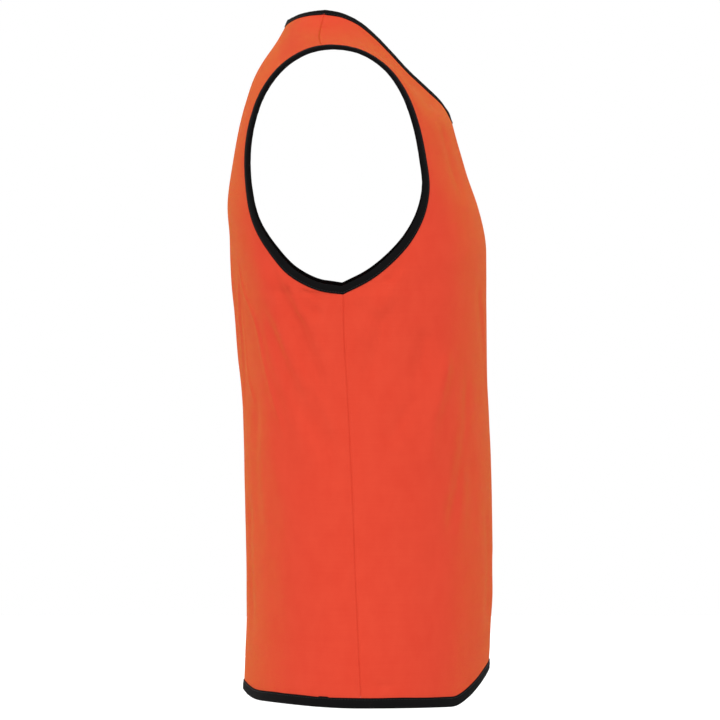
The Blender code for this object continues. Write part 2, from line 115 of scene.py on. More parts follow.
# Creases on the panels: soft troughs (depth above 0) and ridges (below 0) along a line.
# Places are (forward, height) on the two sides, and (across, height) on the front and back.
creases = {
    "right": (  # line, width, depth
        (((-98, -228), (-93, -245), (-83, -281), (-74, -308), (-61.5, -358), (-51, -398), (-43, -424), (-36, -456)),
         3.4, -0.8),
        (((-94, -262), (-86.5, -311), (-79.5, -365), (-73, -398), (-69.5, -424)), 3.0, -0.55),
        (((-58, -240), (-38, -290), (-27, -315), (-18.5, -337), (-4, -371), (8, -402)), 6.5, 1.5),
        (((-46, -246), (-27, -286), (-10, -326), (6, -368), (14, -396)), 6.5, -1.1),
        (((-66, -290), (-50, -336), (-33, -376), (-18.5, -405), (-4, -434), (12, -463), (22, -500)), 8.0, 1.6),
        (((-52, -300), (-36, -342), (-18, -378), (-2, -410), (12, -444)), 6.5, -0.9),
        (((-18, -378), (-4, -405), (7, -430), (14, -452)), 6.0, 1.0),
        (((-36, -262), (-20, -293), (-4, -306), (5, -313)), 3.8, 0.9),
        (((-28, -268), (-11, -284), (8, -294)), 3.4, 0.8),
        (((-30, -296), (-14, -310), (-2, -326)), 4.5, -0.8),
        (((-16, -326), (-4, -344), (2, -362)), 5.0, 0.5),
        (((-66, -452), (-52, -520), (-48, -588)), 14.0, 0.5),
        (((-62, -560), (-50, -610), (-46, -668)), 13.0, 0.5),
        (((88, -248), (78, -258), (67, -276)), 5.5, 1.6),
        (((86, -256), (68, -288), (54, -322), (46, -356)), 8.0, -1.2),
        (((74, -290), (58, -334), (44, -392)), 9.0, 1.0),
        (((30, -292), (48, -302), (70, -318)), 5.0, 0.8),
        (((114, -316), (105, -362), (98, -394)), 10.0, 1.6),
        (((137, -338), (128, -382), (117, -424), (115, -480)), 8.0, -1.6),
        (((156, -360), (154, -427), (146, -490), (133, -562)), 8.0, 1.4),
        (((104, -388), (84, -418), (66, -452)), 8.0, 0.9),
        (((122, -540), (116, -590), (112, -640)), 12.0, 0.5),
        (((92, -470), (98, -540), (88, -610)), 14.0, 0.4),
        (((44, -700), (62, -704), (84, -700)), 4.5, 1.0),
    ),
    "left": (
        (((-95, -240), (-84, -284), (-72, -326), (-60, -372), (-44, -436)), 4.0, -1.6),
        (((-92, -268), (-80, -330), (-66, -396), (-58, -446)), 8.0, 1.6),
        (((-90, -286), (-84, -340), (-76, -402)), 4.0, -1.2),
        (((-54, -250), (-34, -294), (-16, -342), (-2, -376)), 7.5, 1.6),
        (((-40, -256), (-20, -298), (2, -362)), 8.0, -1.0),
        (((-48, -340), (-26, -388), (0, -444), (14, -486)), 9.0, 1.7),
        (((-32, -264), (-16, -290), (2, -308)), 4.0, 1.3),
        (((-24, -270), (-8, -287), (10, -297)), 3.6, 1.1),
        (((-60, -480), (-50, -560), (-44, -650)), 14.0, 1.1),
        (((84, -252), (74, -266), (62, -284)), 6.0, 1.4),
        (((82, -262), (64, -300), (50, -350)), 8.0, -1.1),
        (((34, -294), (52, -308), (72, -326)), 5.0, 0.7),
        (((118, -308), (108, -366), (102, -404)), 10.0, 1.4),
        (((132, -350), (122, -404), (118, -466)), 8.5, -1.4),
        (((150, -362), (152, -436), (144, -516)), 9.0, 1.4),
        (((110, -486), (118, -556), (108, -628)), 13.0, 1.0),
    ),
    "front": (
        (((-104, -262), (-80, -312), (-56, -370), (-40, -440)), 10.0, 1.0),
        (((-90, -272), (-64, -330), (-44, -388)), 8.0, -0.7),
        (((108, -266), (84, -320), (58, -392)), 10.0, 1.0),
        (((96, -306), (76, -362), (60, -420)), 8.0, -0.7),
        (((-22, -300), (-14, -380), (-24, -468)), 13.0, 0.7),
        (((30, -330), (22, -420), (34, -512)), 14.0, 0.6),
        (((-70, -500), (-56, -580), (-62, -660)), 13.0, 1.3),
        (((74, -486), (62, -570), (70, -650)), 13.0, 1.3),
        (((-6, -560), (4, -620), (-4, -668)), 12.0, 0.9),
        (((-104, -96), (-112, -140), (-104, -190)), 11.0, 1.2),
        (((104, -100), (110, -146), (100, -196)), 11.0, 1.2),
        (((-34, -112), (-48, -150), (-52, -196)), 9.0, 0.9),
        (((36, -118), (50, -158), (52, -206)), 9.0, 0.8),
        (((-130, -420), (-118, -500), (-124, -580)), 13.0, 1.1),
        (((132, -400), (120, -490), (128, -590)), 13.0, 1.1),
    ),
    "back": (
        (((-90, -256), (-74, -306), (-56, -366), (-44, -440)), 9.0, 1.1),
        (((-78, -260), (-60, -310), (-42, -380)), 7.0, -0.8),
        (((94, -250), (76, -300), (52, -372), (40, -430)), 9.0, 1.2),
        (((82, -262), (62, -312), (44, -372)), 7.0, -0.8),
        (((-14, -210), (-6, -300), (-18, -410)), 15.0, -1.3),
        (((20, -260), (30, -350), (18, -450)), 12.0, 1.2),
        (((-80, -490), (-62, -580), (-68, -664)), 13.0, 1.3),
        (((68, -470), (82, -570), (74, -656)), 13.0, 1.3),
        (((-20, -520), (-10, -600), (-22, -668)), 13.0, 1.0),
        (((-92, -58), (-66, -104), (-58, -156)), 12.0, 1.2),
        (((88, -62), (70, -112), (56, -150)), 12.0, 1.1),
        (((-128, -380), (-112, -470), (-120, -570)), 12.0, 1.1),
        (((126, -396), (114, -480), (122, -560)), 12.0, 1.1),
    ),
}


def smoothCurve(marks, values):
    slopes = np.gradient(values, marks, axis=0)

    def at(mark):
        i = int(np.clip(np.searchsorted(marks, mark) - 1, 0, len(marks) - 2))
        step = marks[i + 1] - marks[i]
        t = (mark - marks[i]) / step
        start = (2 * t**3 - 3 * t**2 + 1) * values[i] + (t**3 - 2 * t**2 + t) * step * slopes[i]
        end = (3 * t**2 - 2 * t**3) * values[i + 1] + (t**3 - t**2) * step * slopes[i + 1]
        return start + end

    return at


def byHeight(table):
    table = np.array(table, float)
    return smoothCurve(table[:, 0], table[:, 1:])


def byShare(table):
    points = np.array(table, float)
    lengths = np.linalg.norm(np.diff(points, axis=0), axis=1)
    marks = np.concatenate([[0.0], np.cumsum(lengths)]) / lengths.sum()
    return smoothCurve(marks, points)


def eased(value, start, end):
    t = np.clip((np.asarray(value, float) - start) / (end - start), 0.0, 1.0)
    return t * t * (3 - 2 * t)


def unit(vectors):
    return vectors / np.maximum(np.linalg.norm(vectors, axis=-1, keepdims=True), 1e-9)


def curveThrough(controls, shares):
    a, b, c, d = controls
    t = np.asarray(shares, float)[..., None]
    return (1 - t) ** 3 * a + 3 * (1 - t) ** 2 * t * b + 3 * (1 - t) * t**2 * c + t**3 * d


def quarterControls(middlePull, sidePull, depthShare):
    # The quarter curve of a section, cut off where the armhole meets it
    whole = np.array([(0.0, 1.0), (middlePull, 1.0), (1.0, sidePull), (1.0, 0.0)])
    low, high = 0.0, 1.0
    for _ in range(40):
        middle = (low + high) / 2
        if curveThrough(whole, middle)[1] > depthShare:
            low = middle
        else:
            high = middle
    first = whole[:-1] + (whole[1:] - whole[:-1]) * middle
    second = first[:-1] + (first[1:] - first[:-1]) * middle
    third = second[0] + (second[1] - second[0]) * middle
    return np.array([whole[0], first[0], second[0], third])


class PanelCut:
    # Reads one panel's rows from the cut, at any level: 0 hem, 1 underarm, 2 foot of the neck, 3 shoulder seam

    def __init__(self, name):
        front = name == "front"
        self.name = name
        self.middle = byHeight(cut["frontLine" if front else "backLine"])
        self.seam = byHeight(cut["sideSeam"])
        self.pulls = byHeight(cut["sectionPulls"])
        self.armhole = byShare(cut["armholeFront" if front else "armholeBack"])
        neckTable = cut["neckFront" if front else "neckBack"]
        self.neck = byShare(neckTable)
        self.armShare = cut["armholeShare"][name]
        self.underarm, _, self.underarmForward = cut["sideSeam"][-1]
        self.rise = neckTable[0][2] - self.armhole(self.armShare)[2]
        self.strapLevel = cut["strapLevel"][name]
        controls = self.sectionControls(*self.ends(self.strapLevel))
        self.strapLeaves = controls[1] - controls[0]
        self.strapArrives = controls[3] - controls[2]

    def ends(self, level):
        if level < 1:
            height = cut["hemHeight"] + (self.underarm - cut["hemHeight"]) * level
            across, forward = self.seam(height)
            return np.array([0, self.middle(height)[0], height]), np.array([across, forward, height])
        if level < 2:
            end = self.armhole((level - 1) * self.armShare)
            height = end[2] + self.rise * (level - 1) ** 2
            return np.array([0, self.middle(height)[0], height]), end
        end = self.armhole(self.armShare + (1 - self.armShare) * (level - 2))
        return self.neck(level - 2), end

    def sectionControls(self, start, end):
        table = cut["sectionPulls"]
        pulls = self.pulls(min(max(end[2], table[0][0]), table[-1][0]))
        middlePull, sidePull = pulls[:2] if self.name == "front" else pulls[2:]
        sideForward = end[1] if end[2] < self.underarm else self.underarmForward
        depth = start[1] - sideForward
        quarter = quarterControls(middlePull, sidePull, (end[1] - sideForward) / depth)
        heights = start[2] + (end[2] - start[2]) * np.array([0.0, 0.0, 0.6, 1.0])
        across = quarter[:, 0] * end[0] / quarter[-1][0]
        return np.stack([across, sideForward + quarter[:, 1] * depth, heights], axis=1)

    def row(self, level, shares):
        start, end = self.ends(level)
        if level <= self.strapLevel:
            controls = self.sectionControls(start, end)
        else:
            share = (level - self.strapLevel) / (3 - self.strapLevel)
            leaves = self.strapLeaves + (np.array(cut["seamLeavesNeck"]) - self.strapLeaves) * share
            leaves[1:] *= max(0.0, level - 2)
            if self.name == "front":
                besideNeck = eased(level, 2.0, cut["neckFallLevel"])
                leaves[1:] += np.array(cut["neckFall"]) * besideNeck * (3 - max(level, 2.0))
            arrives = self.strapArrives + (np.array(cut["seamMeetsArmhole"]) - self.strapArrives) * share
            controls = np.array([start, start + leaves, end - arrives, end])
        points = curveThrough(controls, shares)
        across = points[:, 0]
        if self.name == "front":
            rise, half, power = cut["frontArch"]
            lift = rise * np.maximum(0.0, 1 - (across / half) ** 2) ** power
        else:
            rise, power = cut["backRise"]
            more, fullAt, lostAt = cut["backLift"]
            lift = rise * (1 - (across / cut["sideSeam"][0][1]) ** power) + more * (1 - eased(across, fullAt, lostAt))
        points[:, 2] += max(0.0, 1 - level) * lift
        return points


def spaced(count, length):
    # Even shares of a length, then the close steps before a seam
    steps = np.array(cloth["seamSteps"])
    even = np.linspace(0, length - steps[0], count - len(steps) + 2)
    return np.concatenate([even[:-1], length - steps]) / length


def byLength(points, shares):
    lengths = np.linalg.norm(np.diff(points, axis=0), axis=1)
    marks = np.concatenate([[0.0], np.cumsum(lengths)])
    wanted = shares * marks[-1]
    return np.stack([np.interp(wanted, marks, points[:, axis]) for axis in range(3)], axis=1)


def outward(rows):
    # Directions out of the cloth, from the faces round each point
    facing = np.cross(rows[1:, 1:] - rows[:-1, :-1], rows[1:, :-1] - rows[:-1, 1:])
    facing = unit(facing)
    out = np.zeros_like(rows)
    for corner in (out[:-1, :-1], out[:-1, 1:], out[1:, :-1], out[1:, 1:]):
        corner += facing
    out[np.abs(rows[:, 0, 0]) < 1e-6, 0, 0] = 0.0
    out = unit(out)
    inside = np.array([0.0, cut["sideSeam"][-1][2], rows[:, :, 2].mean()])
    return out if ((rows - inside) * out).sum() > 0 else -out


class Panel:
    # A panel as two half grids, of side 1 and -1, which share the middle column below the neck

    def __init__(self, name):
        self.name = name
        below, toNeck, strap = cloth["rows"][name]
        self.underarmRow = below
        self.neckRow = below + toNeck
        shape = PanelCut(name)
        strapLength = 250 if name == "front" else 80  # from the foot of the neck to the shoulder seam
        levels = np.concatenate([
            np.arange(below) / below, 1 + np.arange(toNeck) / toNeck, 2 + spaced(strap, strapLength),
        ])
        half = []
        for level in levels:
            dense = shape.row(level, np.linspace(0, 1, 160))
            length = np.linalg.norm(np.diff(dense, axis=0), axis=1).sum()
            half.append(byLength(dense, spaced(cloth["columns"], length)))
        half = self.folded(self.softened(np.array(half)))
        strapShare = np.clip(levels - 2, 0, 1)[:, None] ** 2
        acrossShare = np.linspace(0, 1, half.shape[1])
        half[:, :, 1] += cloth["shoulderSeamBow"] * strapShare * np.sin(math.pi * acrossShare)
        out = outward(half)
        mirror = np.array([-1.0, 1.0, 1.0])
        self.rows = {1: half, -1: half * mirror}
        self.out = {1: out, -1: out * mirror}
        along = np.linalg.norm(np.diff(half, axis=1), axis=2).cumsum(axis=1)
        self.girth = np.concatenate([np.zeros((len(half), 1)), along], axis=1)
        rise = np.linalg.norm(np.diff(half[:, 20], axis=0), axis=1).cumsum()
        self.rise = np.concatenate([[0.0], rise])
        self.base = {side: rows.copy() for side, rows in self.rows.items()}

    def softened(self, half):
        # Evens out the bend where rows pass the underarm, away from the armhole
        steps = np.linalg.norm(np.diff(half, axis=0), axis=2)
        marks = np.concatenate([np.zeros((1, half.shape[1])), steps.cumsum(axis=0)])
        across = np.linalg.norm(np.diff(half, axis=1), axis=2)[:, ::-1].cumsum(axis=1)[:, ::-1]
        toEdge = np.concatenate([across, np.zeros((len(half), 1))], axis=1)
        result = half.copy()
        for column in range(half.shape[1]):
            mark = marks[:, column]
            weight = np.exp(-(((mark[:, None] - mark) / 15.0) ** 2)) * np.gradient(mark)
            even = weight @ half[:, column] / weight.sum(axis=1, keepdims=True)
            near = 1 - eased(np.abs(mark - mark[self.underarmRow]), 22, 50)
            share = (near * eased(toEdge[:, column], 1, 20))[:, None]
            result[:, column] += (even - half[:, column]) * share
        return result

    def folded(self, half):
        # Presses in the folds that the solids have too
        out = outward(half)
        along = np.linalg.norm(np.diff(half, axis=1), axis=2).cumsum(axis=1)
        girth = np.concatenate([np.zeros((len(half), 1)), along], axis=1)
        fade = np.minimum(1, np.minimum((girth[:, -1:] - girth) / 50, girth / 75))
        fade = fade * np.minimum(1, np.minimum(np.arange(len(half)), np.arange(len(half))[::-1]) / 8)[:, None]
        for owner, start, end, width, depth in cut["folds"]:
            if owner == self.name:
                along = np.array(end, float) - start
                length = np.linalg.norm(along)
                along /= length
                reach = half[:, :, 1:] - start
                travelled = (reach @ along) / length
                aside = reach[:, :, 0] * along[1] - reach[:, :, 1] * along[0]
                run = eased(travelled, -0.15, 0.25) * (1 - eased(travelled, 0.7, 1.15))
                half = half - out * (fade * depth * run * np.exp(-((aside / width) ** 2)))[:, :, None]
        return half

    def everywhere(self):
        for side in (1, -1):
            yield side, self.base[side], self.out[side], self.rows[side]

    def line(self, side, kind):
        # The line where the tape of a neck, armhole or hem starts, its directions, and places along the panel
        if kind == "neck":
            return self.rows[side][self.neckRow:, 0], self.out[side][self.neckRow:, 0]
        if kind == "armhole":
            return self.rows[side][self.underarmRow:, -1], self.out[side][self.underarmRow:, -1]
        return self.rows[side][0], self.out[side][0]


front = Panel("front")
back = Panel("back")
panels = {"front": front, "back": back}
print("panels cut:", front.rows[1].shape, back.rows[1].shape)


def nearestToLine(points, line):
    # Distance of every point from a line, and the share of the line where it is nearest
    best = np.full(len(points), 1e9)
    where = np.zeros(len(points))
    for i in range(len(line) - 1):
        step = line[i + 1] - line[i]
        t = np.clip((points - line[i]) @ step / (step @ step), 0, 1)
        distance = np.linalg.norm(points - line[i] - t[:, None] * step, axis=1)
        nearer = distance < best
        best[nearer] = distance[nearer]
        where[nearer] = (i + t[nearer]) / (len(line) - 1)
    return best, where


def placedOnCloth(places, group):
    # Finds the cloth's points at places seen from a side, as (forward, height), or from the front or back
    if group in ("front", "back"):
        points = np.concatenate([panels[group].base[side].reshape(-1, 3) for side in (1, -1)])
        seen = points[:, [0, 2]]
    else:
        side = 1 if group == "left" else -1
        points = np.concatenate([panel.base[side].reshape(-1, 3) for panel in (front, back)])
        points = points[np.abs(points[:, 0]) > 95]
        seen = points[:, [1, 2]]
    found = [points[((seen - place) ** 2).sum(axis=1).argmin()] for place in np.array(places, float)]
    at = byShare(found)
    return np.array([at(share) for share in np.linspace(0, 1, 26)])


def pressCreases():
    lines = []
    for group, entries in creases.items():
        for places, width, depth in entries:
            lines.append((placedOnCloth(places, group), group, width, depth))
    for panel in (front, back):
        for side, base, out, rows in panel.everywhere():
            points = base.reshape(-1, 3)
            pressed = np.zeros(len(points))
            sideGroup = "left" if side == 1 else "right"
            for number, (line, group, width, depth) in enumerate(lines):
                if group not in (sideGroup, panel.name):
                    continue
                low, high = line.min(axis=0) - 4 * width, line.max(axis=0) + 4 * width
                near = ((points > low) & (points < high)).all(axis=1)
                if not near.any():
                    continue
                distance, share = nearestToLine(points[near], line)
                uneven = 1 + 0.2 * np.sin(7 * share + 2.1 * number) + 0.1 * np.sin(17 * share + number)
                run = eased(share, 0.0, 0.2) * (1 - eased(share, 0.72, 1.0)) * uneven
                spread = width * (1 + 0.5 * share)
                pressed[near] += cloth["creaseDepth"] * depth * run * np.exp(-((distance / spread) ** 2))
            for i, point in enumerate(points):
                broad = noise.noise(Vector(point / 95.0)) + 0.5 * noise.noise(Vector(point / 38.0 + 7.0))
                pressed[i] += cloth["waveDepth"] * broad
            pressed = pressed.reshape(base.shape[:2])
            # The folds fade at the tape, which holds the cloth, and at the seams
            columns = panel.girth[:, -1:] - panel.girth
            hold = 0.25 + 0.75 * eased(columns, 0, 26)
            hold[panel.neckRow:] *= 0.25 + 0.75 * eased(panel.girth[panel.neckRow:], 0, 20)
            hold *= (0.4 + 0.6 * eased(panel.rise, 0, 30))[:, None]
            seamDistance = np.abs(panel.rise[-1] - panel.rise)[:, None] * np.ones_like(columns)
            seamDistance[: panel.underarmRow + 1] = columns[: panel.underarmRow + 1]
            seamDepth = np.full(columns.shape, cloth["shoulderSeamDepth"])
            seamDepth[: panel.underarmRow + 1] = cloth["sideSeamDepth"]
            groove = seamDepth * np.exp(-((seamDistance / cloth["seamWidth"]) ** 2))
            pitch = np.where(seamDistance < 12, 1 - seamDistance / 12, 0) * cloth["puckerDepth"]
            along = np.where(np.arange(len(base))[:, None] <= panel.underarmRow, base[:, :, 2], panel.girth)
            groove += pitch * np.sin(along / 2.6) * np.sin(along / 7.3 + 1.0)
            moved = pressed * hold + groove
            moved[:, 0] = pressed[:, 0] * hold[:, 0]
            rows -= out * moved[:, :, None]


pressCreases()
print("creases pressed")


# Black tape: how far it reaches over the raw edge of the neck, armholes and hem, and its folded section.
# The section's places are (towards the edge, out of the cloth), and its rise is over the outer face.
tape = {
    "reach": {"neck": 8.0, "armhole": 7.5, "hem": 10.0},
    "opening": {"neck": (0.0, 40.0, 40.0), "armhole": (230.0, 10.0, -140.0), "hem": (0.0, 50.0, -5000.0)},
    "spacing": 2.3,
    "cornerRun": 22.0,
    "leg": (
        (0.0, 0.04), (0.02, 0.42), (0.2, 0.72), (0.55, 0.9), (1.0, 0.9), (1.45, 0.72), (1.85, 0.58),
        (2.25, 0.72), (2.9, 0.98), (4.0, 1.16), (5.1, 1.26), (6.0, 1.2),
    ),
    "edgeReach": 1.3,  # the fold stands out this far beyond the raw edge
    "edgeRadius": 1.72,
    "edgeSteps": 8,
    "thickness": 0.45,
    "puckers": 0.22,
    "wander": 0.55,
    "join": (-203.0, -9.0, -720.0),  # where the ends of the hem tape lie over each other
    "joinLength": 11.0,
    "joinStep": 0.45,
    "joinSlip": 0.9,
}


def rawEdge(line, out, opening, reach, corner):
    # Raw edge beside a closed line of tape starts, mitred at its sharp corner, if it has one at point 0
    before = line - np.roll(line, 1, axis=0)
    after = np.roll(line, -1, axis=0) - line
    beyondAfter = unit(np.cross(after, out))
    beyond = unit(unit(np.cross(before, out)) + beyondAfter)
    beyond /= np.maximum((beyond * beyondAfter).sum(axis=1, keepdims=True), 0.5)
    beyond *= reach
    if ((opening - line) * beyond).sum() < 0:
        beyond = -beyond
    edge = line + beyond
    if corner:
        for order in (np.arange(len(line)), -np.arange(len(line))):
            walk = np.linalg.norm(np.diff(line[order], axis=0), axis=1)
            travelled = np.concatenate([[0.0], np.cumsum(walk)])
            last = int(np.searchsorted(travelled, tape["cornerRun"]))
            for place in range(1, last):
                share = travelled[place] / travelled[last]
                edge[order[place]] = edge[0] + (edge[order[last]] - edge[0]) * share
    return edge


def tapeLoop(kind, side=1):
    # The closed line where a tape starts, its directions out, and which panel each stretch belongs to
    if kind == "armhole":
        order = ((front, side, 1), (back, side, -1))
    else:
        order = ((front, 1, 1), (back, 1, -1), (back, -1, 1), (front, -1, -1))
    points, outs, stretches = [], [], {}
    for panel, half, direction in order:
        line, out = panel.line(half, kind)
        line, out = line[::direction], out[::direction]
        first = 0
        if points:
            outs[-1] = unit(outs[-1] + out[0])
            first = 1
        numbers = np.arange(len(line)) + len(points) - first
        stretches[panel.name, half] = numbers[::direction]
        points.extend(line[first:])
        outs.extend(out[first:])
    outs[0] = unit(outs[0] + outs[-1])
    count = len(points) - 1
    stretches = {key: numbers % count for key, numbers in stretches.items()}
    return np.array(points[:-1]), np.array(outs[:-1]), stretches


def openingOf(kind, side=1):
    return np.array(tape["opening"][kind]) * np.array([side if kind == "armhole" else 1.0, 1.0, 1.0])


def toWorld(points):
    return np.asarray(points) * np.array([1.0, -1.0, 1.0]) * 0.001


def newPiece(name, points, faces, uvs, material):
    mesh = bpy.data.meshes.new(name)
    mesh.from_pydata(toWorld(points).tolist(), [], [tuple(face) for face in faces])
    layer = mesh.uv_layers.new(name="cloth")
    corners = np.zeros(len(mesh.loops), dtype=np.int64)
    mesh.loops.foreach_get("vertex_index", corners)
    layer.data.foreach_set("uv", (np.asarray(uvs)[corners] * 0.001).ravel())
    mesh.materials.append(material)
    mesh.shade_smooth()
    mesh.set_sharp_from_angle(angle=math.radians(55))
    piece = bpy.data.objects.new(name, mesh)
    bpy.context.scene.collection.objects.link(piece)
    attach(piece, "root")
    return piece


def asShell(points, outs, faces, thickness):
    # Both skins of a sheet and the rim round its border, facing out
    points, outs, faces = np.array(points), np.array(outs), np.array(faces)
    count = len(points)
    normals = np.cross(points[faces[:, 2]] - points[faces[:, 0]], points[faces[:, 3]] - points[faces[:, 1]])
    if (normals * outs[faces[:, 0]]).sum() < 0:
        faces = faces[:, ::-1]
    directed = set()
    for face in faces:
        for i in range(4):
            directed.add((int(face[i]), int(face[(i + 1) % 4])))
    rim = [(b, a, a + count, b + count) for a, b in sorted(directed) if (b, a) not in directed]
    inner = faces[:, ::-1] + count
    return np.concatenate([points, points - outs * thickness]), faces.tolist() + inner.tolist() + rim


def panelPiece(panel, material):
    points, outs, uvs, faces, numbers = [], [], [], [], {}
    rows, columns = panel.base[1].shape[:2]

    def add(key, place, out, uv):
        numbers[key] = len(points)
        points.append(place)
        outs.append(out)
        uvs.append(uv)

    for side in (1, -1):
        for row in range(rows):
            for column in range(columns):
                if side == -1 and column == 0 and row <= panel.neckRow:
                    numbers[side, row, 0] = numbers[1, row, 0]
                    continue
                # Draws the cloth back by half of the seam's gap
                place = panel.rows[side][row, column].copy()
                if (column == columns - 1 and row <= panel.underarmRow) or row == rows - 1:
                    place[1] += cloth["seamGap"] / 2 * (1 if panel.name == "front" else -1)
                uv = (side * panel.girth[row, column], panel.rise[row])
                add((side, row, column), place, panel.out[side][row, column], uv)
        for row in range(rows - 1):
            for column in range(columns - 1):
                corners = ((row, column), (row, column + 1), (row + 1, column + 1), (row + 1, column))
                face = [numbers[(side, *corner)] for corner in corners]
                faces.append(face if side == 1 else face[::-1])
    starts = {
        "neck": [(row, 0) for row in range(panel.neckRow, rows)],
        "armhole": [(row, columns - 1) for row in range(panel.underarmRow, rows)],
        "hem": [(0, column) for column in range(columns)],
    }
    for kind, places in starts.items():
        for side in (1, -1):
            line, out, stretches = tapeLoop(kind, side)
            edge = rawEdge(line, out, openingOf(kind, side), tape["reach"][kind], kind != "hem")
            share = cloth["underTape"] / tape["reach"][kind]
            stretch = stretches[panel.name, side]
            for i, place in enumerate(places):
                start = numbers[(side, *place)]
                if side == -1 and i == 0 and kind != "armhole":
                    numbers[side, kind, 0] = numbers[1, kind, 0]
                    continue
                beyond = (edge[stretch[i]] - line[stretch[i]]) * share
                add((side, kind, i), points[start] + beyond, outs[start], uvs[start])
            for i in range(len(places) - 1):
                face = [
                    numbers[(side, *places[i])], numbers[(side, *places[i + 1])],
                    numbers[side, kind, i + 1], numbers[side, kind, i],
                ]
                turned = (kind == "neck") == (side == 1)
                faces.append(face[::-1] if turned else face)
    shellPoints, shellFaces = asShell(points, outs, faces, cut["cloth"])
    return newPiece(panel.name, shellPoints, shellFaces, uvs + uvs, material)


def smoothed(values, sigma, closed):
    # Runs a soft average along a line. An open line keeps its ends.
    reach = int(3 * sigma) + 1
    weights = np.exp(-0.5 * (np.arange(-reach, reach + 1) / sigma) ** 2)
    weights /= weights.sum()
    if closed:
        padded = np.concatenate([values[-reach:], values, values[:reach]])
    else:
        padded = np.concatenate([
            2 * values[0] - values[reach:0:-1], values, 2 * values[-1] - values[-2: -reach - 2: -1],
        ])
    return np.stack([np.convolve(padded[:, axis], weights, "valid") for axis in range(3)], axis=1)


def evenLoop(line, out, corner):
    # The closed line again at even steps, softened, and with its corner kept at point 0
    closed = np.concatenate([line, line[:1]])
    closedOut = np.concatenate([out, out[:1]])
    length = np.linalg.norm(np.diff(closed, axis=0), axis=1).sum()
    count = int(length / tape["spacing"])
    shares = np.linspace(0, 1, count + 1)
    lengths = np.linalg.norm(np.diff(closed, axis=0), axis=1)
    marks = np.concatenate([[0.0], np.cumsum(lengths)]) / length
    even = np.stack([np.interp(shares, marks, closed[:, axis]) for axis in range(3)], axis=1)
    evenOut = np.stack([np.interp(shares, marks, closedOut[:, axis]) for axis in range(3)], axis=1)
    if corner:
        even = smoothed(even, 1.6, False)[:-1]
        evenOut = smoothed(evenOut, 2.5, False)[:-1]
    else:
        even = smoothed(even[:-1], 1.6, True)
        evenOut = smoothed(evenOut[:-1], 2.5, True)
    return even, unit(evenOut), length


def tapeProfile(reach):
    # The closed section as (towards the edge, out of the outer face), and where its stitch grooves are
    half = cut["cloth"] / 2
    legs = [(a, b + half) for a, b in tape["leg"]]
    centre = reach + tape["edgeReach"] - tape["edgeRadius"]
    outer = [place for place in legs if place[0] < centre - 0.6]
    turn = []
    for step in range(tape["edgeSteps"] + 1):
        angle = math.pi / 2 - math.pi * step / tape["edgeSteps"]
        turn.append((centre + tape["edgeRadius"] * math.cos(angle), tape["edgeRadius"] * math.sin(angle)))
    skin = outer + turn + [(a, -b) for a, b in reversed(outer)]
    lining = [(0.25, -half - 0.12), (centre, -half - 0.3), (centre + 0.9, 0.0), (centre, half + 0.3), (0.25, half + 0.12)]
    return np.array(skin + lining) - np.array([0.0, half]), len(skin)


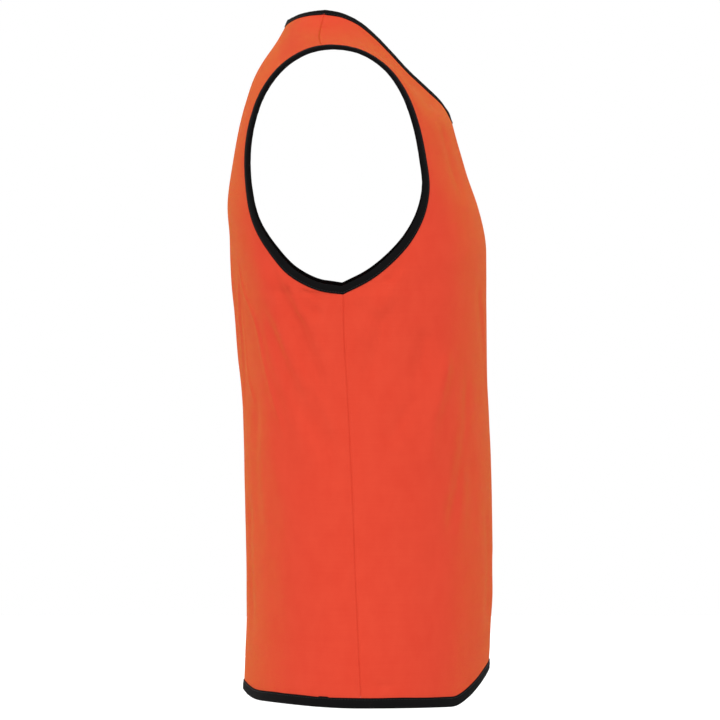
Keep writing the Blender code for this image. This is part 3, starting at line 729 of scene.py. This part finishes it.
def tapePiece(name, kind, side, material):
    line, out, _ = tapeLoop(kind, side)
    corner = kind != "hem"
    line, out, length = evenLoop(line, out, corner)
    edge = rawEdge(line, out, openingOf(kind, side), tape["reach"][kind], corner)
    profile, skinCount = tapeProfile(tape["reach"][kind])
    beyond = edge - line
    span = np.linalg.norm(beyond, axis=1, keepdims=True)
    direction = beyond / span
    stretch = span[:, 0] / tape["reach"][kind]
    count = len(line)
    around = np.arange(count) * length / count
    overlap = np.zeros(count)
    if kind == "hem":
        fromJoin = around - around[np.linalg.norm(line - np.array(tape["join"]), axis=1).argmin()]
        overlap = eased(fromJoin, 0, 2.5) * (1 - eased(fromJoin, tape["joinLength"], tape["joinLength"] + 2.5))
    rings = []
    for i in range(count):
        ring = []
        for j, (a, b) in enumerate(profile):
            place = line[i] + direction[i] * a * stretch[i]
            outerFace = b > -cut["cloth"] / 2
            spot = Vector((around[i] / 5.5, a / 4.0, 3.0 if outerFace else 9.0)) + Vector((len(name) * 3.7, 0, 0))
            slow = Vector((around[i] / 42.0, len(name) * 1.3, 2.0 if outerFace else 5.0))
            lift = tape["puckers"] * noise.noise(spot) * min(1.0, a / 0.6) * (0.6 + 1.6 * abs(noise.noise(slow)))
            if j >= skinCount:
                lift = 0.0
            shift = tape["wander"] * noise.noise(slow) * max(0.0, 1 - a / 4.0)
            shift -= tape["joinSlip"] * overlap[i] * max(0.0, 1 - a / 6.0)
            lift += tape["joinStep"] * overlap[i] * (1 if j < skinCount else 0)
            place = place + out[i] * (b + (lift if outerFace else -lift)) + direction[i] * shift
            ring.append(place)
        rings.append(ring)
    rings = np.array(rings)
    steps = np.linalg.norm(np.diff(profile, axis=0), axis=1)
    across = np.concatenate([[0.0], np.cumsum(steps)])
    points = np.concatenate([rings.reshape(-1, 3), rings[0]])
    uvs = [(around[i] if i < count else length, across[j]) for i in range(count + 1) for j in range(len(profile))]
    faces = []
    size = len(profile)
    for i in range(count):
        following = i + 1
        for j in range(size):
            k = (j + 1) % size
            faces.append((i * size + j, i * size + k, following * size + k, following * size + j))
    # The first and last ring are one ring, with two sets of cloth coordinates
    faces = np.array(faces)
    welded = np.where(faces >= count * size, faces - count * size, faces)
    centre = rings.mean(axis=1)[:, None]
    first = faces[:, 0]
    normals = np.cross(points[faces[:, 2]] - points[faces[:, 0]], points[faces[:, 3]] - points[faces[:, 1]])
    away = points[first] - centre[np.minimum(first // size, count - 1), 0]
    if (normals * away).sum() < 0:
        welded, faces = welded[:, ::-1], faces[:, ::-1]
    piece = newPiece(name, points[: count * size], welded, uvs[: count * size], material)
    layer = piece.data.uv_layers["cloth"]
    layer.data.foreach_set("uv", (np.array(uvs)[faces.ravel()] * 0.001).ravel())
    groove = int(np.argmin(np.abs(profile[: skinCount // 2, 0] - 1.85)))
    return piece, rings[:, [groove, skinCount - 1 - groove]], out, length


# Stitches that hold the tape, in a row near its edge on both faces
stitch = {"pitch": 3.1, "length": 2.2, "radius": 0.26, "sunk": 0.02}


def stitchPiece(name, rows, out, length, material):
    count = int(length / stitch["pitch"])
    tube = []
    for along, wide in ((-0.5, 0.35), (-0.38, 0.85), (0.0, 1.0), (0.38, 0.85), (0.5, 0.35)):
        for turn in range(6):
            angle = turn * math.pi / 3
            tube.append((along * stitch["length"], wide * math.cos(angle), wide * math.sin(angle)))
    tube = np.array(tube)
    tubeFaces = [(r * 6 + i, r * 6 + (i + 1) % 6, r * 6 + 6 + (i + 1) % 6, r * 6 + 6 + i)
                 for r in range(4) for i in range(6)]
    tubeFaces += [(5, 4, 3, 2), (5, 2, 1, 0), (24, 25, 26, 27), (24, 27, 28, 29)]
    points, faces, uvs = [], [], []
    for face, lift in ((0, 1.0), (1, -1.0)):
        line = rows[:, face]
        for number in range(count):
            place = (number + 0.5) / count * len(line)
            low = int(place) % len(line)
            high = (low + 1) % len(line)
            share = place - int(place)
            centre = line[low] * (1 - share) + line[high] * share
            along = unit(line[high] - line[low])
            up = unit(out[low] - along * (out[low] @ along))
            aside = np.cross(up, along)
            centre = centre + up * lift * (stitch["radius"] * 0.55 - stitch["sunk"])
            start = len(points)
            for a, b, c in tube:
                points.append(centre + along * a + (aside * b + up * c) * stitch["radius"])
                uvs.append((a + number * stitch["pitch"], b))
            faces.extend([tuple(start + i for i in quad) for quad in tubeFaces])
    return newPiece(name, points, faces, uvs, material)


class Signal:
    # A socket of a material's nodes, so that shader maths reads as expressions

    def __init__(self, finish, socket):
        self.finish = finish
        self.socket = socket

    def maths(self, operation, first, second=0.0):
        made = self.finish.node("ShaderNodeMath", {"operation": operation}, {0: first, 1: second})
        return Signal(self.finish, made.outputs[0])

    def __add__(self, other):
        return self.maths("ADD", self, other)

    def __radd__(self, other):
        return self.maths("ADD", other, self)

    def __sub__(self, other):
        return self.maths("SUBTRACT", self, other)

    def __rsub__(self, other):
        return self.maths("SUBTRACT", other, self)

    def __mul__(self, other):
        return self.maths("MULTIPLY", self, other)

    def __rmul__(self, other):
        return self.maths("MULTIPLY", other, self)

    def __truediv__(self, other):
        return self.maths("DIVIDE", self, other)

    def part(self):
        return self.maths("FRACT", self)

    def size(self):
        return self.maths("ABSOLUTE", self)

    def wave(self):
        return self.maths("SINE", self * (2 * math.pi))


class Finish:
    # One material, built up from its Principled shader

    def __init__(self, name):
        self.material = bpy.data.materials.new(name)
        self.material.use_nodes = True
        self.tree = self.material.node_tree
        self.shader = self.tree.nodes["Principled BSDF"]
        places = self.node("ShaderNodeTexCoord", {}, {})
        self.place = Signal(self, places.outputs["UV"])
        self.solid = Signal(self, places.outputs["Object"])
        split = self.node("ShaderNodeSeparateXYZ", {}, {0: self.place})
        self.across = Signal(self, split.outputs[0]) * 1000  # millimetres of cloth
        self.up = Signal(self, split.outputs[1]) * 1000

    def node(self, kind, settings, values):
        made = self.tree.nodes.new(kind)
        for key, value in settings.items():
            if key == "stops":
                for element, (position, colour) in zip(made.color_ramp.elements, value):
                    element.position = position
                    element.color = colour
            else:
                setattr(made, key, value)
        for key, value in values.items():
            self.feed(made.inputs[key], value)
        return made

    def feed(self, socket, value):
        if isinstance(value, Signal):
            self.tree.links.new(value.socket, socket)
        else:
            socket.default_value = value

    def set(self, **values):
        for key, value in values.items():
            self.feed(self.shader.inputs[key.replace("_", " ")], value)

    def blendColours(self, share, first, second):
        mixed = self.node("ShaderNodeMix", {"data_type": "RGBA"}, {0: share, 6: first, 7: second})
        return Signal(self, mixed.outputs[2])

    def grain(self, scale, detail, stretch=(1.0, 1.0, 1.0), solid=False):
        # Noise on the cloth's own coordinates, or through space
        source = self.solid if solid else self.place
        stretched = self.node("ShaderNodeVectorMath", {"operation": "MULTIPLY"}, {0: source, 1: stretch})
        made = self.node(
            "ShaderNodeTexNoise", {"noise_dimensions": "3D"},
            {"Vector": Signal(self, stretched.outputs[0]), "Scale": scale, "Detail": detail, "Roughness": 0.55},
        )
        return Signal(self, made.outputs[0])

    def relief(self, height, strength, distance):
        bump = self.node("ShaderNodeBump", {}, {"Height": height, "Strength": strength, "Distance": distance})
        self.set(Normal=Signal(self, bump.outputs[0]))


# Orange double knit
knit = {
    "colour": (0.606, 0.0476, 0.0232, 1.0),
    # the paler tone is used for random tone and for painted light on the knit's loop tops
    "paler": (0.658, 0.0640, 0.0320, 1.0),
    "wale": 0.9,  # width of a column of stitches, in millimetres
    "course": 0.75,  # height of a row of stitches
    "sheen": 0.40,
    "sheenSpread": 0.24,
    "sheenTint": (0.40, 0.54, 0.0, 1.0),
}


def knitFinish():
    finish = Finish("orange knit")
    lean = ((finish.across / knit["wale"]).part() - 0.5).size()
    loops = (finish.up / knit["course"] + lean * 1.1).wave() * 0.5 + 0.5
    height = loops * (1 - lean * 1.2)
    blotches = finish.grain(16.0, 3.0, solid=True)
    flecks = finish.grain(70.0, 2.0, (1.0, 1.0, 0.6), solid=True)
    lines = finish.grain(60.0, 2.0, (0.18, 9.0, 1.0))
    # Colour mix of random tone (blotches, flecks, lines) and painted shade: through height, the knit's loop tops are
    # paler and the hollows between the loops darker.
    toneAndLoopShade = blotches * 0.4 + flecks * 0.8 + lines * 0.45 + height * 0.7 - 0.55
    finish.set(
        Base_Color=finish.blendColours(toneAndLoopShade, knit["colour"], knit["paler"]),
        Roughness=0.82 + lines * 0.08,
        Specular_IOR_Level=0.05,
        Sheen_Weight=knit["sheen"],
        Sheen_Roughness=knit["sheenSpread"],
        Sheen_Tint=knit["sheenTint"],
    )
    finish.relief(height + lines * 0.6, 0.7, 0.0003)
    return finish.material


# Black woven tape, and the thread that holds it
# the paler tape colour serves real wear and painted highlight on the rib crests
weave = {"colour": (0.0028, 0.0027, 0.0029, 1.0), "worn": (0.0056, 0.0052, 0.0055, 1.0), "rib": 0.85}


def tapeFinish():
    finish = Finish("black tape")
    ribs = (finish.across / weave["rib"]).wave() * 0.5 + 0.5
    picks = (finish.up / 0.42 + (finish.across / weave["rib"]).part() * 0.5).wave() * 0.5 + 0.5
    wear = finish.grain(45.0, 4.0, solid=True)
    finish.set(
        # Colour mix of real wear (wear noise) and painted highlight: the rib crests are paler in colour.
        Base_Color=finish.blendColours(wear * 0.9 + ribs * 0.2 - 0.15, weave["colour"], weave["worn"]),
        Roughness=0.86 + ribs * 0.08,
        Specular_IOR_Level=0.06,
    )
    finish.relief(ribs * 0.7 + picks * 0.5 + wear * 0.5, 0.45, 0.0002)
    return finish.material


def threadFinish():
    finish = Finish("black thread")
    twist = (finish.across / 0.5 + finish.up * 0.6).wave() * 0.5 + 0.5
    # Painted highlight and shade: the twist makes the thread paler on its ply ridges and darker in the grooves
    # between them.
    finish.set(
        Base_Color=finish.blendColours(twist, (0.006, 0.006, 0.007, 1.0), (0.014, 0.013, 0.015, 1.0)),
        Roughness=0.5 + twist * 0.15,
        Specular_IOR_Level=0.3,
    )
    finish.relief(twist, 0.4, 0.0001)
    return finish.material


orangeKnit = knitFinish()
blackTape = tapeFinish()
blackThread = threadFinish()
print("finishes made")

for name, panel in panels.items():
    piece = panelPiece(panel, orangeKnit)
    piece.name = name + "PanelCloth"
    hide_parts(name + "_panel")
print("panels made")

tapes = (
    ("neckTape", "neck", 1, "neck_binding"),
    ("leftArmholeTape", "armhole", 1, "armhole_binding_left"),
    ("rightArmholeTape", "armhole", -1, "armhole_binding_right"),
    ("hemTape", "hem", 1, "hem_binding"),
)
for name, kind, side, node in tapes:
    piece, rows, out, length = tapePiece(name, kind, side, blackTape)
    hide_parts(node)
    stitches = stitchPiece(name.replace("Tape", "Stitches"), rows, out, length, blackThread)
    print("tape made:", name, round(length), "mm long,", len(piece.data.polygons), "faces")

# Floor, light and camera
studio = {
    "floorHeight": -0.80,
    "floorRadius": 6.0,
    "sky": 1.0,
    "sun": 1.5,
    "sunSpread": 0.6,
    "sunFrom": (-0.75, 0.15, 1.1),
    "target": (0.0, -0.041, -0.3564),
    "distance": 20.0,
    "elevation": 0.8,
    "lens": 926.0,
}
bpy.ops.mesh.primitive_circle_add(
    vertices=128, radius=studio["floorRadius"], fill_type="NGON", location=(0, 0, studio["floorHeight"]),
)
floor = bpy.context.object
floor.name = "floor"
floorFinish = Finish("pale floor")
floorFinish.set(Base_Color=(0.93, 0.93, 0.93, 1.0), Roughness=0.9, Specular_IOR_Level=0.1)
floor.data.materials.append(floorFinish.material)

world = bpy.data.worlds.new("studio")
bpy.context.scene.world = world
world.use_nodes = True
world.node_tree.nodes["Background"].inputs["Color"].default_value = (1.0, 1.0, 1.0, 1.0)
world.node_tree.nodes["Background"].inputs["Strength"].default_value = studio["sky"]
sun = bpy.data.lights.new("sun", "SUN")
sun.energy = studio["sun"]
sun.angle = studio["sunSpread"]
sunObject = bpy.data.objects.new("sun", sun)
sunObject.rotation_euler = Vector(studio["sunFrom"]).to_track_quat("Z", "Y").to_euler()
bpy.context.scene.collection.objects.link(sunObject)

camera = bpy.data.cameras.new("camera")
camera.lens = studio["lens"]
camera.sensor_width = 36.0
camera.clip_end = 100.0
cameraObject = bpy.data.objects.new("camera", camera)
tilt = math.radians(studio["elevation"])
stepBack = Vector((-math.cos(tilt), 0.0, math.sin(tilt))) * studio["distance"]
cameraObject.location = Vector(studio["target"]) + stepBack
cameraObject.rotation_euler = stepBack.to_track_quat("Z", "Y").to_euler()
bpy.context.scene.collection.objects.link(cameraObject)
bpy.context.scene.camera = cameraObject
bpy.context.scene.view_settings.view_transform = "Standard"
print("floor, light and camera set")
